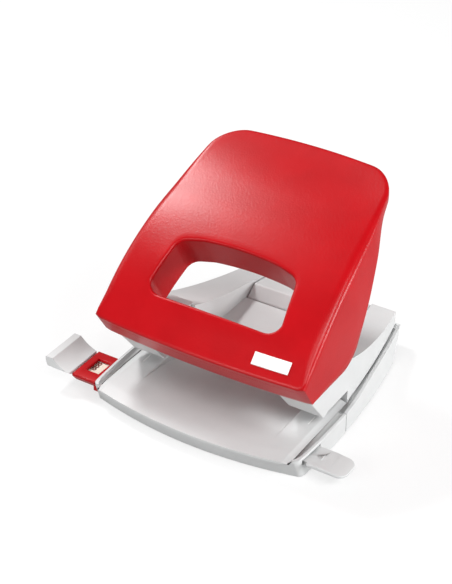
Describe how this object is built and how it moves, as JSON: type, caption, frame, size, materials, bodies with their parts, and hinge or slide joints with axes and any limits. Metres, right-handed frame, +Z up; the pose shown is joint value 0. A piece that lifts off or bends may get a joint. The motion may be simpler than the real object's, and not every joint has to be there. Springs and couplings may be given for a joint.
{
  "type": "two-hole punch",
  "caption": "Desk hole punch: red lever shell with a grip window over twin spring-returned punches, grey base with sliding paper guide and hinged chip tray.",
  "frame": {"origin": "on the ground, on the mid-plane, under the line of the two punches, on the middle foot of the base", "axes": "+Z up, +Y to the rear (the grip side), +X to the right along the paper edge and the guide rail"},
  "size_m": [0.1398, 0.113, 0.0928],
  "materials": {
    "red_abs": "moulded ABS with a fine satin grain",
    "grey_abs": "moulded ABS, fine matt spark texture",
    "steel": "zinc-bright steel",
    "spring_steel": "drawn spring wire and strip",
    "rubber": "soft moulded rubber",
    "white_label": "bare white plate",
    "printed_scale": "printed strip"
  },
  "bodies": {
    "base": {"front_base": "grey_abs", "paper_table": "grey_abs", "upper_body": "grey_abs", "die_left": "steel", "die_right": "steel", "bush_left": "steel", "bush_right": "steel", "spring_left": "spring_steel", "spring_right": "spring_steel", "pivot_axle": "steel", "axle_clips": "spring_steel", "format_window": "red_abs", "guide_spring": "spring_steel", "body_screws": "steel", "front_feet": "rubber", "tray_pins": "steel"},
    "handle": {"handle_shell": "red_abs", "lever_left": "steel", "lever_right": "steel", "press_pins": "steel", "lever_screws": "steel", "label_plate": "white_label"},
    "left_punch": {"punch_left": "steel", "collar_left": "steel"},
    "right_punch": {"punch_right": "steel", "collar_right": "steel"},
    "guide": {"guide_rail": "grey_abs", "guide_stop": "grey_abs", "format_scale": "printed_scale"},
    "tray": {"chip_tray": "grey_abs", "tray_feet": "rubber"}
  },
  "joints": [
    {"name": "handle_press", "type": "hinge", "parent": "base", "child": "handle", "pos_m": [0, -0.019, 0.04], "axis": [-1, 0, 0], "range_deg": [0, 23.4], "stiffness_Nm_per_rad": 0.8, "springref_deg": -28.65},
    {"name": "left_punch_stroke", "type": "slide", "parent": "base", "child": "left_punch", "axis": [0, 0, -1], "range_m": [0, 0.0079], "deforming": ["spring_left"]},
    {"name": "right_punch_stroke", "type": "slide", "parent": "base", "child": "right_punch", "axis": [0, 0, -1], "range_m": [0, 0.0079], "deforming": ["spring_right"]},
    {"name": "guide_slide", "type": "slide", "parent": "base", "child": "guide", "axis": [-1, 0, 0], "range_m": [0, 0.0965]},
    {"name": "tray_hinge", "type": "hinge", "parent": "base", "child": "tray", "pos_m": [0, -0.008, 0.0029], "axis": [-1, 0, 0], "range_deg": [0, 35]}
  ],
  "couplings": [
    {"joint": "left_punch_stroke", "follows": "handle_press", "m_per_rad": 0.019269},
    {"joint": "right_punch_stroke", "follows": "handle_press", "m_per_rad": 0.019269}
  ]
}
